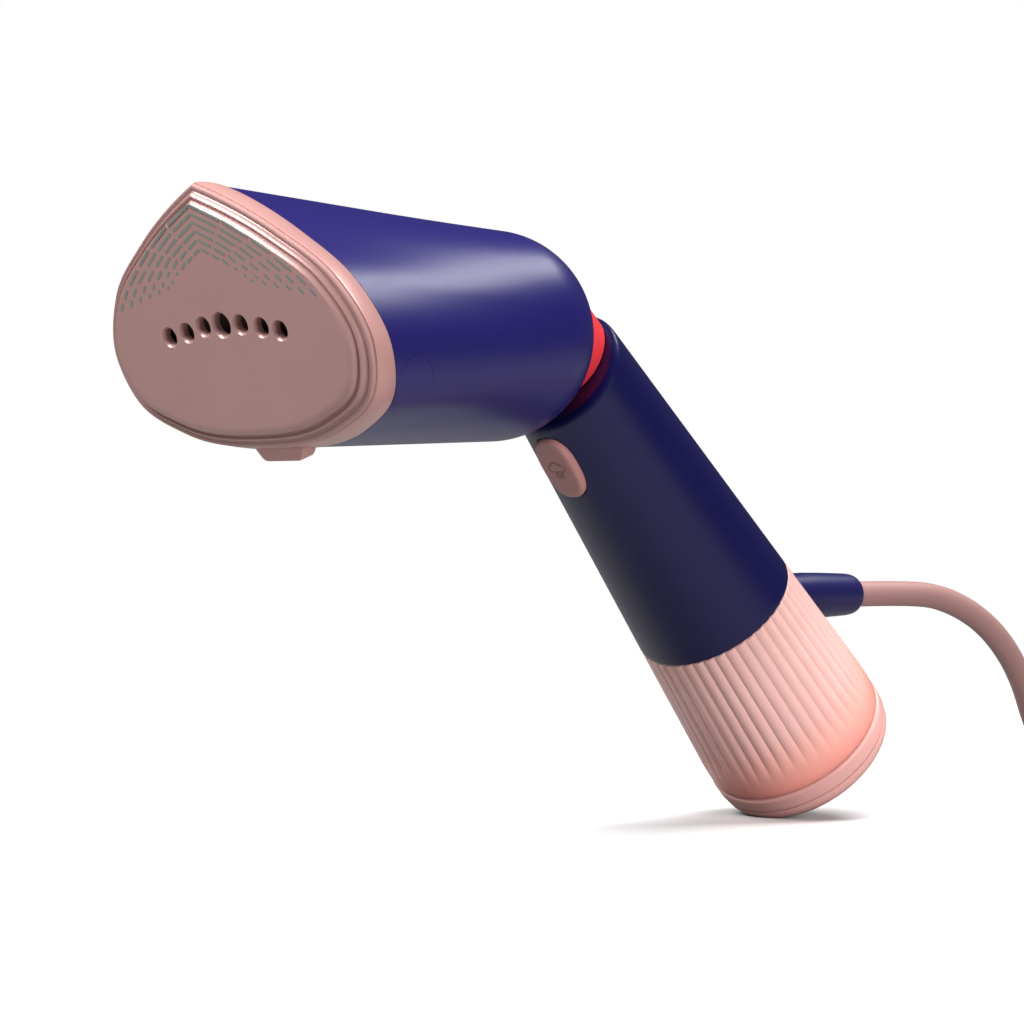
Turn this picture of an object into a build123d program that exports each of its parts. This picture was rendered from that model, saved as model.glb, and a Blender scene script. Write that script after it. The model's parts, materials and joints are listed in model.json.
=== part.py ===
"""Handheld garment steamer with a swivelling head, built piece by piece.

Frame: millimetres, +Z up. The steam plate faces -Y and +X is the steamer's own left side. The origin is the
middle of the grip, on the handle's axis. At rest the head is level and the handle slants down and back.
"""

import os
from math import cos, pi, radians, sin, tan

from build123d import *

os.makedirs("parts", exist_ok=True)

# ---- driving dimensions ----------------------------------------------------------------------
HANDLE_TILT = 43.25  # handle axis from the vertical, degrees
GRIP_STATION = 65.0  # along the handle's axis, from the elbow to the middle of the grip
ELBOW_SETBACK = 21.9  # the elbow's distance behind the centre of the domed rear of the head

DOME_RADIUS = 29.2
WALL = 2.2
PLATE_LEAN = 20.0  # the plate's top leans forward by this angle
FACE_STATION = 95.5  # where the plate's face crosses the head's axis, ahead of the dome's centre
RIM_STATION = 91.2
COLLAR_STATION = 80.2
FACE_OUTLINE = (47.0, 33.4, 32.3)  # half width, height above and depth below the head's axis
RIM_OUTLINE = (50.5, 36.6, 34.0)
COLLAR_OUTLINE = (45.0, 36.2, 34.0)
STEAM_HOLE_PITCH = 7.25
STEAM_HOLE_ARC = 80.0
STEAM_HOLE_RADIUS = 2.25
CENTRE_HOLE_RADIUS = 3.05

HANDLE_TOP_RADIUS = 17.43
HANDLE_TAPER = 0.0733
SEAM_STATION = 105.4
SWIVEL_FACE = 11.4  # from the elbow to the handle's end, along the swivel's axis
RING_RADIUS = 13.2
RING_FLARE_RADIUS = 15.6
SHAFT_RADIUS = 7.5
SHAFT_BORE = 4.8
BUTTON_STATION = 31.0
BUTTON_SIZE = (12.5, 20.5)
BUTTON_PROUD = 1.5
BUTTON_TRAVEL = 1.2
BUTTON_FLANGE_TOP = -4.5
BUTTON_FLANGE = 1.2

TANK_STRAIGHT_END = 151.0
TANK_OPEN_END = 159.6
BAND_END = 165.2
TANK_END = 175.8
TANK_WALL = 2.0
NECK_RADIUS = 8.5
TONGUE_END = 140.0
TONGUE_WIDTH = 27.0
TONGUE_FLAT = 13.5

CORD_RADIUS = 4.0
CORD_DROP = 74.5  # the cord leaves this far below the head's axis
RELIEF_END = 138.3  # behind the elbow
COIL_RADIUS = 44.0
COIL_TURNS_WIDE = 3
COIL_TURNS_HIGH = 2
FLOOR = -94.0
PIN_RADIUS = 2.4
PIN_ROOT_RADIUS = 3.0
PIN_LENGTH = 19.0
PIN_SPACING = 19.0

GAP = 0.3

# ---- frames ----------------------------------------------------------------------------------
TILT = radians(HANDLE_TILT)
BEND = 90.0 - HANDLE_TILT
HALF_BEND = radians(BEND / 2)
LEAN = radians(PLATE_LEAN)
ELBOW = Vector(0, -GRIP_STATION * sin(TILT), GRIP_STATION * cos(TILT))
DOME_CENTRE = ELBOW + Vector(0, -ELBOW_SETBACK, 0)
CORD_HEIGHT = ELBOW.Z - CORD_DROP

# Each frame's z runs along its axis and its x is the row's +X. The handle's y is its front, the head's y is up.
HANDLE = Plane(ELBOW, x_dir=(1, 0, 0), z_dir=(0, sin(TILT), -cos(TILT)))
HEAD = Plane(DOME_CENTRE, x_dir=(1, 0, 0), z_dir=(0, -1, 0))
SWIVEL = Plane(ELBOW, x_dir=(1, 0, 0), z_dir=(0, cos(HALF_BEND), -sin(HALF_BEND)))
RELIEF = Plane((0, ELBOW.Y, CORD_HEIGHT), x_dir=(1, 0, 0), z_dir=(0, 1, 0))
PLATE_NORMAL = Vector(0, -cos(LEAN), -sin(LEAN))


def tilted(station):
    """A plane parallel to the steam plate, centred where it crosses the head's axis."""
    return Plane(DOME_CENTRE + Vector(0, -station, 0), x_dir=(1, 0, 0), z_dir=PLATE_NORMAL)


def handle_radius(station):
    """The handle's outer radius at a station along its axis."""
    return HANDLE_TOP_RADIUS + HANDLE_TAPER * station


BUTTON_SEAT = handle_radius(BUTTON_STATION)
BUTTON = Plane(
    HANDLE.from_local_coords(Vector(0, BUTTON_SEAT, BUTTON_STATION)),
    x_dir=(1, 0, 0),
    z_dir=HANDLE.y_dir - HANDLE.z_dir * HANDLE_TAPER,
)


# ---- shapes that repeat ----------------------------------------------------------------------
def pick_face(plane, width, top, bottom):
    """A pick-shaped outline with its tip up, as a face on a plane."""
    with BuildSketch(plane) as outline:
        with BuildLine():
            Spline(
                (0, top),
                (0.53 * width, 0.62 * top),
                (0.86 * width, 0.25 * top),
                (width, -0.21 * bottom),
                (0.92 * width, -0.60 * bottom),
                (0.60 * width, -0.88 * bottom),
                (0, -bottom),
                tangents=[(1, -0.40), (-1, 0)],
            )
            mirror(about=Plane.YZ)
        make_face()
    return outline.sketch


def disc_face(plane, radius):
    """A circle split at its top and bottom, so that it lofts cleanly to a pick outline."""
    with BuildSketch(plane) as outline:
        with BuildLine():
            ThreePointArc((0, radius), (radius, 0), (0, -radius))
            mirror(about=Plane.YZ)
        make_face()
    return outline.sketch


def turned(frame, points, mode=Mode.ADD):
    """Revolves a profile of (radius, station) points about a frame's axis."""
    with BuildSketch(Plane(frame.origin, x_dir=frame.y_dir, z_dir=frame.x_dir)) as profile:
        with BuildLine():
            Polyline(*points, close=True)
        make_face()
    revolve(profile.sketch, axis=Axis(frame.origin, frame.z_dir), mode=mode)


def rod(frame, radius, start, end, x=0.0, y=0.0, mode=Mode.ADD):
    """A cylinder between two stations of a frame."""
    with BuildSketch(frame.offset(start)) as disc:
        with Locations((x, y)):
            Circle(radius)
    extrude(disc.sketch, amount=end - start, mode=mode)


def tube(frame, outer, inner, start, end, x=0.0, y=0.0):
    """A hollow cylinder between two stations of a frame."""
    with BuildSketch(frame.offset(start)) as ring:
        with Locations((x, y)):
            Circle(outer)
            Circle(inner, mode=Mode.SUBTRACT)
    extrude(ring.sketch, amount=end - start)


def block(frame, width, depth, start, end, x=0.0, y=0.0, mode=Mode.ADD):
    """A rectangular bar between two stations of a frame."""
    with BuildSketch(frame.offset(start)) as base:
        with Locations((x, y)):
            Rectangle(width, depth)
    extrude(base.sketch, amount=end - start, mode=mode)


def pipe(points, radii, radius, mode=Mode.ADD):
    """A round bar along straight runs joined by tangent arcs."""
    with BuildLine() as route:
        FilletPolyline(*points, radius=radii)
    with BuildSketch(Plane(origin=route.line @ 0, z_dir=route.line % 0)) as section:
        Circle(radius)
    sweep(section.sketch, path=route.line, mode=mode)
    return sum(edge.length for edge in route.edges())


def helix_spring(frame, radius, wire, start, end, turns):
    """A coil spring between two stations of a frame."""
    height = end - start - 2 * wire
    base = frame.offset(start + wire)
    with BuildLine() as coil:
        Helix(pitch=height / turns, height=height, radius=radius, center=base.origin, direction=base.z_dir)
    with BuildSketch(Plane(origin=coil.line @ 0, z_dir=coil.line % 0)) as section:
        Circle(wire / 2)
    sweep(section.sketch, path=coil.line, is_frenet=True)


def screw(frame, x, y, head_start, head, shank, head_radius=2.75, shank_radius=1.45):
    """A pan-head screw: its head, then its shank, along a frame's axis."""
    rod(frame, head_radius, head_start, head_start + head, x, y)
    rod(frame, shank_radius, head_start + head, head_start + head + shank, x, y)


def head_skin():
    """The head's outer shell as an open-ended hollow skin, from the dome to the collar."""
    inner = tuple(size - WALL for size in COLLAR_OUTLINE)
    loft([disc_face(HEAD, DOME_RADIUS), pick_face(tilted(COLLAR_STATION), *COLLAR_OUTLINE)], ruled=True)
    with Locations(HEAD.location):
        Sphere(DOME_RADIUS)
    loft(
        [disc_face(HEAD, DOME_RADIUS - WALL), pick_face(tilted(COLLAR_STATION), *inner)],
        ruled=True,
        mode=Mode.SUBTRACT,
    )
    with Locations(HEAD.location):
        Sphere(DOME_RADIUS - WALL, mode=Mode.SUBTRACT)


def finish(piece, name):
    """Labels a finished piece and writes it."""
    piece.part.label = name
    export_step(piece.part, f"parts/{name}.step")


# ---- head: the visible shells ----------------------------------------------------------------
COVER_STATION = 66.0
COVER_HEIGHT = -16.7
COVER_RADIUS = 7.4
SIDE = Plane(
    DOME_CENTRE + Vector(0, -COVER_STATION, COVER_HEIGHT), x_dir=(0, 1, 0), z_dir=(1, 0, 0)
)
FLANGE_START = -10.0
FLANGE_END = -7.6
FLANGE_RADIUS = 15.2
FLANGE_SCREW_CIRCLE = 12.3
FLANGE_SCREW_ANGLES = (30, 150, 270)
FLANGE_SCREWS = [
    (FLANGE_SCREW_CIRCLE * cos(radians(a)), FLANGE_SCREW_CIRCLE * sin(radians(a))) for a in FLANGE_SCREW_ANGLES
]

with BuildPart() as dome_bosses:
    for boss_x, boss_y in FLANGE_SCREWS:
        rod(SWIVEL, 2.6, FLANGE_END, SWIVEL_FACE, boss_x, boss_y)
    with Locations(HEAD.location):
        Sphere(DOME_RADIUS - WALL / 2, mode=Mode.INTERSECT)

with BuildPart() as head_housing:
    head_skin()
    add(dome_bosses.part)
    rod(SWIVEL, SHAFT_RADIUS + 0.5, -8, SWIVEL_FACE, mode=Mode.SUBTRACT)
    for boss_x, boss_y in FLANGE_SCREWS:
        rod(SWIVEL, 1.5, FLANGE_END, FLANGE_END + 5, boss_x, boss_y, mode=Mode.SUBTRACT)
    rod(SIDE, COVER_RADIUS + 0.1, -60, 60, mode=Mode.SUBTRACT)
finish(head_housing, "head_housing")

with BuildPart() as side_covers:
    head_skin()
    rod(SIDE, COVER_RADIUS, -60, 60, mode=Mode.INTERSECT)
finish(side_covers, "side_covers")

with BuildPart() as front_collar:
    collar_inner_rim = tuple(size - 4.0 for size in RIM_OUTLINE)
    collar_inner_back = tuple(size - WALL - 0.8 for size in COLLAR_OUTLINE)
    loft(
        [pick_face(tilted(COLLAR_STATION), *COLLAR_OUTLINE), pick_face(tilted(RIM_STATION), *RIM_OUTLINE)],
        ruled=True,
    )
    lug_plane = tilted(RIM_STATION - 3.6)
    with BuildSketch(lug_plane) as lug:
        with BuildLine():
            Polyline((0, -31), (10.4, -31), (10.4, -33.6), (7.2, -38.0), (0, -38.0))
            mirror(about=Plane.YZ)
        make_face()
        fillet(lug.vertices().group_by(Axis.Y)[0], 1.4)
    extrude(lug.sketch, amount=-5.4)
    loft(
        [pick_face(tilted(COLLAR_STATION), *collar_inner_back), pick_face(tilted(RIM_STATION), *collar_inner_rim)],
        ruled=True,
        mode=Mode.SUBTRACT,
    )
finish(front_collar, "front_collar")

# ---- head: the steam plate and what is behind it ---------------------------------------------
RIM = tilted(RIM_STATION)
RIM_THICKNESS = 2.1
FACE_DEPTH = (FACE_STATION - RIM_STATION) * cos(LEAN)
FACE_SHIFT = (FACE_STATION - RIM_STATION) * sin(LEAN)
PLATE_THICKNESS = 2.4
SKIRT_DEPTH = 4.4
SKIRT_OUTLINE = (40.0, 28.5, 27.0)
SKIRT_INNER = tuple(size - 2.0 for size in SKIRT_OUTLINE)

with BuildPart() as steam_plate:
    extrude(pick_face(RIM, *RIM_OUTLINE), amount=RIM_THICKNESS)
    extrude(
        pick_face(
            RIM.offset(RIM_THICKNESS),
            FACE_OUTLINE[0],
            FACE_OUTLINE[1] + FACE_SHIFT,
            FACE_OUTLINE[2] - FACE_SHIFT,
        ),
        amount=FACE_DEPTH - RIM_THICKNESS,
    )
    extrude(pick_face(RIM, 43.5, 30.5, 29.0), amount=FACE_DEPTH - PLATE_THICKNESS, mode=Mode.SUBTRACT)
    extrude(pick_face(RIM.offset(FACE_DEPTH - PLATE_THICKNESS), *SKIRT_OUTLINE), amount=-SKIRT_DEPTH)
    extrude(
        pick_face(RIM.offset(FACE_DEPTH - PLATE_THICKNESS), *SKIRT_INNER), amount=-SKIRT_DEPTH, mode=Mode.SUBTRACT
    )
    for index in range(-3, 4):
        across = index * STEAM_HOLE_PITCH
        down = STEAM_HOLE_ARC - (STEAM_HOLE_ARC**2 - across**2) ** 0.5
        hole = CENTRE_HOLE_RADIUS if index == 0 else STEAM_HOLE_RADIUS
        rod(RIM, hole, -1, FACE_DEPTH + 1, across, FACE_SHIFT - 1.4 - down, mode=Mode.SUBTRACT)
finish(steam_plate, "steam_plate")

COVER_FRONT = FACE_DEPTH - PLATE_THICKNESS - SKIRT_DEPTH  # stations along the plate's normal from the rim plane
BOILER_FRONT = COVER_FRONT - 2.0
BOILER_DEPTH = 20.0
BOILER_FRONT_OUTLINE = (36.0, 26.0, 25.0)
BOILER_REAR_OUTLINE = (34.0, 24.0, 24.0)
BOILER_NOSE = tilted(RIM_STATION + BOILER_FRONT / cos(LEAN))
BOILER_REAR = tilted(RIM_STATION + (BOILER_FRONT - BOILER_DEPTH) / cos(LEAN))  # its z = 0 is the boiler's back
BOILER_SCREWS = [(-29, -8), (29, -8), (-15, 11), (15, 11)]

with BuildPart() as plate_gasket:
    extrude(pick_face(RIM, 43.2, 30.2, 28.7), amount=-1.6)
    extrude(pick_face(RIM, 40.4, 28.9, 27.4), amount=-1.6, mode=Mode.SUBTRACT)
finish(plate_gasket, "plate_gasket")

with BuildPart() as boiler_cover:
    extrude(pick_face(RIM.offset(BOILER_FRONT), *SKIRT_OUTLINE), amount=COVER_FRONT - BOILER_FRONT)
    for slot_x in (-22, -11, 0, 11, 22):
        rod(RIM, 1.5, BOILER_FRONT, COVER_FRONT, slot_x, -8, mode=Mode.SUBTRACT)
    for screw_x, screw_y in BOILER_SCREWS:
        rod(RIM, 1.6, BOILER_FRONT, COVER_FRONT, screw_x, screw_y, mode=Mode.SUBTRACT)
finish(boiler_cover, "boiler_cover")

ELEMENT_RADIUS = 3.2
ELEMENT_BEND = 8.0
ELEMENT_SINK = 1.0
TERMINAL_X = 7.0
TERMINAL_Y = -15.0
ELEMENT_ROUTE = [
    (-TERMINAL_X, TERMINAL_Y),
    (-24, TERMINAL_Y),
    (-24, 2),
    (-13, 13),
    (13, 13),
    (24, 2),
    (24, TERMINAL_Y),
    (TERMINAL_X, TERMINAL_Y),
]
INLET = (9.0, -1.0)
THERMOSTAT = (-8.0, -1.0)


def element_points():
    """The heating element's route in the row's frame."""
    return [BOILER_REAR.from_local_coords(Vector(x, y, ELEMENT_SINK)) for x, y in ELEMENT_ROUTE]


with BuildPart() as boiler:
    loft(
        [pick_face(BOILER_REAR, *BOILER_REAR_OUTLINE), pick_face(BOILER_NOSE, *BOILER_FRONT_OUTLINE)],
        ruled=True,
    )
    extrude(pick_face(RIM.offset(BOILER_FRONT - 8), 24, 15, 15), amount=8, mode=Mode.SUBTRACT)
    for rib_x in (-12, 0, 12):
        block(RIM, 2.0, 20.0, BOILER_FRONT - 8, BOILER_FRONT - 1, rib_x, -2.0)
    pipe(element_points(), ELEMENT_BEND, ELEMENT_RADIUS + 0.05, mode=Mode.SUBTRACT)
    for end_x in (-TERMINAL_X, TERMINAL_X):
        rod(BOILER_REAR, ELEMENT_RADIUS + 0.05, -1, ELEMENT_SINK, end_x, TERMINAL_Y, mode=Mode.SUBTRACT)
    for screw_x, screw_y in BOILER_SCREWS:
        rod(RIM, 1.5, BOILER_FRONT - 7, BOILER_FRONT, screw_x, screw_y, mode=Mode.SUBTRACT)
    rod(BOILER_REAR, 1.5, -1, BOILER_DEPTH - 7, *INLET, mode=Mode.SUBTRACT)
finish(boiler, "boiler")

with BuildPart() as heating_element:
    pipe(element_points(), ELEMENT_BEND, ELEMENT_RADIUS)
    for end_x in (-TERMINAL_X, TERMINAL_X):
        rod(BOILER_REAR, 1.4, ELEMENT_SINK, -9, end_x, TERMINAL_Y)
finish(heating_element, "heating_element")

with BuildPart() as boiler_screws:
    for screw_x, screw_y in BOILER_SCREWS:
        rod(RIM, 2.75, COVER_FRONT, COVER_FRONT + 1.6, screw_x, screw_y)
        rod(RIM, 1.45, BOILER_FRONT - 6, COVER_FRONT, screw_x, screw_y)
finish(boiler_screws, "boiler_screws")

with BuildPart() as thermostat:
    rod(BOILER_REAR, 7.0, 0, -6, *THERMOSTAT)
    rod(BOILER_REAR, 5.0, -6, -9, *THERMOSTAT)
    for blade_x in (-3, 3):
        block(BOILER_REAR, 0.8, 4.8, -9, -15, THERMOSTAT[0] + blade_x, THERMOSTAT[1])
finish(thermostat, "thermostat")

FUSE = Plane(BOILER_REAR.from_local_coords(Vector(16, -8, -2.0)), x_dir=PLATE_NORMAL, z_dir=(1, 0, 0))
with BuildPart() as thermal_fuse:
    rod(FUSE, 1.9, -3.5, 3.5)
    rod(FUSE, 0.5, -5.5, 5.5)
finish(thermal_fuse, "thermal_fuse")

INLET_END = -11.0
with BuildPart() as water_inlet:
    tube(BOILER_REAR, 3.2, 1.5, 0, -3, *INLET)
    tube(BOILER_REAR, 2.0, 1.2, -3, INLET_END, *INLET)
finish(water_inlet, "water_inlet")

SHIELD_STATION = 46.7
with BuildPart() as heat_shield:
    extrude(pick_face(tilted(SHIELD_STATION), 33.5, 28.0, 27.0), amount=-1.6)
    rod(tilted(SHIELD_STATION), 7.0, 1, -3, 8.5, 5.5, mode=Mode.SUBTRACT)
finish(heat_shield, "heat_shield")

# ---- swivel ----------------------------------------------------------------------------------
BUSH_RADIUS = 9.0
HANDLE_TOP_WALL = 3.0
BUSH_END = SWIVEL_FACE + HANDLE_TOP_WALL + 1.6
WASHER = 0.6
CLIP_RADIUS = 9.6
CLIP_START = BUSH_END + WASHER + 0.1
CLIP_THICKNESS = 1.0
SHAFT_END = CLIP_START + CLIP_THICKNESS + 1.3
O_RING_START = SWIVEL_FACE + 1.4
O_RING_WIDTH = 2.0
GROOVE_RADIUS = 6.6

with BuildPart() as swivel_shaft:
    tube(SWIVEL, FLANGE_RADIUS, SHAFT_BORE, FLANGE_START, FLANGE_END)
    tube(SWIVEL, SHAFT_RADIUS, SHAFT_BORE, FLANGE_END, SHAFT_END)
    for groove_start, groove_width in ((O_RING_START, O_RING_WIDTH), (CLIP_START, CLIP_THICKNESS)):
        turned(
            SWIVEL,
            [
                (GROOVE_RADIUS, groove_start),
                (SHAFT_RADIUS + 1, groove_start),
                (SHAFT_RADIUS + 1, groove_start + groove_width),
                (GROOVE_RADIUS, groove_start + groove_width),
            ],
            mode=Mode.SUBTRACT,
        )
    for boss_x, boss_y in FLANGE_SCREWS:
        rod(SWIVEL, 1.6, FLANGE_START, FLANGE_END, boss_x, boss_y, mode=Mode.SUBTRACT)
finish(swivel_shaft, "swivel_shaft")

with BuildPart() as swivel_screws:
    for boss_x, boss_y in FLANGE_SCREWS:
        screw(SWIVEL, boss_x, boss_y, FLANGE_START - 2.0, 2.0, FLANGE_END - FLANGE_START + 4.5)
finish(swivel_screws, "swivel_screws")

with BuildPart() as friction_ring:
    tube(SWIVEL, SHAFT_RADIUS, GROOVE_RADIUS, O_RING_START, O_RING_START + O_RING_WIDTH)
finish(friction_ring, "friction_ring")

with BuildPart() as retaining_clip:
    tube(SWIVEL, CLIP_RADIUS, GROOVE_RADIUS, CLIP_START, CLIP_START + CLIP_THICKNESS)
finish(retaining_clip, "retaining_clip")

with BuildPart() as swivel_ring:
    turned(
        SWIVEL,
        [
            (SHAFT_RADIUS + 0.2, -4),
            (RING_FLARE_RADIUS, -4),
            (RING_FLARE_RADIUS, 2),
            (RING_RADIUS, SWIVEL_FACE - GAP),
            (SHAFT_RADIUS + 0.2, SWIVEL_FACE - GAP),
        ],
    )
    with Locations(HEAD.location):
        Sphere(DOME_RADIUS, mode=Mode.SUBTRACT)
finish(swivel_ring, "swivel_ring")

with BuildPart() as swivel_bush:
    tube(SWIVEL, BUSH_RADIUS, SHAFT_RADIUS + 0.05, SWIVEL_FACE + 0.2, BUSH_END)
    tube(SWIVEL, CLIP_RADIUS, BUSH_RADIUS - 0.5, SWIVEL_FACE + HANDLE_TOP_WALL + 0.1, BUSH_END)
finish(swivel_bush, "swivel_bush")

with BuildPart() as swivel_washer:
    tube(SWIVEL, CLIP_RADIUS, SHAFT_RADIUS + 0.05, BUSH_END, BUSH_END + WASHER)
finish(swivel_washer, "swivel_washer")

# ---- handle shell ----------------------------------------------------------------------------
with BuildPart() as swivel_clearance:
    with BuildSketch(Plane(SWIVEL.origin, x_dir=SWIVEL.y_dir, z_dir=SWIVEL.x_dir)) as clearance:
        with BuildLine():
            Line((0, SWIVEL_FACE), (14.0, SWIVEL_FACE))
            ThreePointArc((14.0, SWIVEL_FACE), (20.0, SWIVEL_FACE - 1.3), (26.0, SWIVEL_FACE - 4.6))
            Polyline((26.0, SWIVEL_FACE - 4.6), (40.0, SWIVEL_FACE - 12), (40.0, -60), (0, -60), (0, SWIVEL_FACE))
        make_face()
    revolve(clearance.sketch, axis=Axis(SWIVEL.origin, SWIVEL.z_dir))


def cone(inset, start, end, mode=Mode.ADD):
    """The handle's cone, its radius less an inset, between two stations."""
    turned(
        HANDLE,
        [(0, start), (handle_radius(start) - inset, start), (handle_radius(end) - inset, end), (0, end)],
        mode=mode,
    )


with BuildPart() as handle_core:
    cone(WALL, -5, SEAM_STATION)
    rod(SWIVEL, 60, -80, SWIVEL_FACE + HANDLE_TOP_WALL, mode=Mode.SUBTRACT)
    with BuildSketch(BUTTON.offset(-10)) as flange_pocket:
        SlotOverall(BUTTON_SIZE[1] + 3.4, BUTTON_SIZE[0] + 3.4, rotation=90)
    extrude(flange_pocket.sketch, amount=10 + BUTTON_FLANGE_TOP + GAP)

with BuildPart() as tongue_blank:
    cone(0, SEAM_STATION - 1, TONGUE_END)
    block(
        HANDLE, TONGUE_WIDTH, 20, SEAM_STATION - 1, TONGUE_END, 0, -TONGUE_FLAT - 10, mode=Mode.INTERSECT
    )
    fillet(
        tongue_blank.edges().filter_by(Axis(HANDLE.origin, HANDLE.y_dir)).group_by(
            Axis(HANDLE.origin, HANDLE.z_dir)
        )[-1],
        4.0,
    )

INNER_CORD_Y = -18.4
RELIEF_RADIUS = 7.0
RELIEF_START = 99.0  # stations behind the elbow, along the relief's own axis
RELIEF_SURFACE = 108.6

with BuildPart() as handle_shell:
    cone(0, -5, SEAM_STATION)
    with BuildSketch(BUTTON.offset(-9)) as button_hole:
        SlotOverall(BUTTON_SIZE[1] + 2 * GAP, BUTTON_SIZE[0] + 2 * GAP, rotation=90)
    extrude(button_hole.sketch, amount=18, mode=Mode.SUBTRACT)
    add(swivel_clearance.part, mode=Mode.SUBTRACT)
    add(handle_core.part, mode=Mode.SUBTRACT)
    add(tongue_blank.part)
    rod(SWIVEL, BUSH_RADIUS + 0.05, SWIVEL_FACE - 2, SWIVEL_FACE + 5, mode=Mode.SUBTRACT)
    rod(RELIEF, RELIEF_RADIUS + 0.05, RELIEF_START, RELIEF_SURFACE + 12, mode=Mode.SUBTRACT)
    rod(RELIEF, CORD_RADIUS + 0.3, RELIEF_START - 7, RELIEF_START + 1, mode=Mode.SUBTRACT)
    block(HANDLE, 9, 8.6, SEAM_STATION - 4, 123, 0, INNER_CORD_Y, mode=Mode.SUBTRACT)
finish(handle_shell, "handle_shell")

SWITCH_TOP = BUTTON_FLANGE_TOP - BUTTON_FLANGE - BUTTON_TRAVEL - 2.3
with BuildPart() as steam_button:
    with BuildSketch(BUTTON.offset(BUTTON_FLANGE_TOP)) as stem:
        SlotOverall(BUTTON_SIZE[1], BUTTON_SIZE[0], rotation=90)
    extrude(stem.sketch, amount=BUTTON_PROUD - BUTTON_FLANGE_TOP)
    chamfer(steam_button.faces().sort_by(Axis(BUTTON.origin, BUTTON.z_dir))[-1].edges(), 0.7)
    with BuildSketch(BUTTON.offset(BUTTON_FLANGE_TOP - BUTTON_FLANGE)) as flange:
        SlotOverall(BUTTON_SIZE[1] + 2.4, BUTTON_SIZE[0] + 2.4, rotation=90)
    extrude(flange.sketch, amount=BUTTON_FLANGE)
finish(steam_button, "steam_button")

SWITCH_AT = -3.5  # the switch sits this far down the handle from the button's middle
with BuildPart() as button_spring:
    spring_seat = Plane(BUTTON.origin + BUTTON.y_dir * SWITCH_AT, x_dir=BUTTON.x_dir, z_dir=BUTTON.z_dir)
    helix_spring(spring_seat, 2.6, 0.5, SWITCH_TOP, BUTTON_FLANGE_TOP - BUTTON_FLANGE, 4)
finish(button_spring, "button_spring")

with BuildPart() as micro_switch:
    block(BUTTON, 6.5, 12.8, SWITCH_TOP - 5.8, SWITCH_TOP, 0, SWITCH_AT)
    rod(BUTTON, 1.25, SWITCH_TOP - 3.5, SWITCH_TOP, 0, SWITCH_AT, mode=Mode.SUBTRACT)
    for leg_y in (-5, 0, 5):
        block(BUTTON, 2.0, 0.6, SWITCH_TOP - 9.0, SWITCH_TOP - 5.8, 0, SWITCH_AT + leg_y)
finish(micro_switch, "micro_switch")

with BuildPart() as switch_plunger:
    rod(BUTTON, 1.2, SWITCH_TOP - 2.2, BUTTON_FLANGE_TOP - BUTTON_FLANGE - 0.05, 0, SWITCH_AT)
finish(switch_plunger, "switch_plunger")

# ---- handle: chassis, pump, board ------------------------------------------------------------
PUMP_START = 50.0
PUMP_END = 88.0
PUMP_RADIUS = 6.5
INLET_NIPPLE_END = 94.0
OUTLET_NIPPLE_START = 42.0
COIL_START = 58.0
COIL_END = 78.0
SHELF_STATIONS = (46.0, 93.0)
SHELF_THICKNESS = 1.8
SPINE_Y = -13.0
BOARD_Y = 15.2

with BuildPart() as chassis:
    for shelf in SHELF_STATIONS:
        rod(HANDLE, handle_radius(shelf) - WALL - 0.35, shelf, shelf + SHELF_THICKNESS)
    block(HANDLE, 15, 2.0, SHELF_STATIONS[0], SHELF_STATIONS[1], 0, SPINE_Y)
    for shelf in SHELF_STATIONS:
        rod(HANDLE, 3.9, shelf - 1, shelf + SHELF_THICKNESS + 1, mode=Mode.SUBTRACT)
        block(HANDLE, 13, 3.0, shelf - 1, shelf + SHELF_THICKNESS + 1, 0, BOARD_Y, mode=Mode.SUBTRACT)
        for side in (-1, 1):
            rod(HANDLE, 2.4, shelf - 1, shelf + SHELF_THICKNESS + 1, 11.5 * side, -7, mode=Mode.SUBTRACT)
finish(chassis, "chassis")

with BuildPart() as pump_body:
    rod(HANDLE, PUMP_RADIUS, PUMP_START, PUMP_END)
    rod(HANDLE, 2.2, OUTLET_NIPPLE_START, PUMP_START)
    rod(HANDLE, 2.2, PUMP_END, INLET_NIPPLE_END)
    rod(HANDLE, 1.2, PUMP_START - 9, PUMP_END + 10, mode=Mode.SUBTRACT)
    rod(HANDLE, 4.56, PUMP_START + 6, PUMP_END - 3, mode=Mode.SUBTRACT)
finish(pump_body, "pump_body")

with BuildPart() as pump_coil:
    tube(HANDLE, 9.6, PUMP_RADIUS, COIL_START, COIL_END)
    for cheek in (COIL_START - 1.5, COIL_END):
        tube(HANDLE, 10.4, PUMP_RADIUS, cheek, cheek + 1.5)
finish(pump_coil, "pump_coil")

with BuildPart() as pump_plunger:
    tube(HANDLE, 4.5, 1.5, PUMP_START + 8.5, PUMP_END - 13)
finish(pump_plunger, "pump_plunger")

with BuildPart() as pump_spring:
    helix_spring(HANDLE, 3.6, 0.7, PUMP_END - 12.9, PUMP_END - 3.05, 5)
finish(pump_spring, "pump_spring")

with BuildPart() as control_board:
    block(HANDLE, 12, 1.6, 48.5, 92, 0, BOARD_Y)
    block(HANDLE, 8, 2.8, 52, 62, 0, BOARD_Y - 2.2)
    block(HANDLE, 9, 2.4, 66, 76, 0, BOARD_Y - 2.0)
    for part_x in (-3, 3):
        rod(HANDLE, 1.4, 79, 88, part_x, BOARD_Y - 2.2)
finish(control_board, "control_board")

# ---- water path between the tank and the boiler ----------------------------------------------
SOCKET_START = 96.6
NECK_START = 98.6
SOCKET_RADIUS = 11.0
SUCTION_RADIUS = 2.5
SUCTION_END = 150.0

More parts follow.
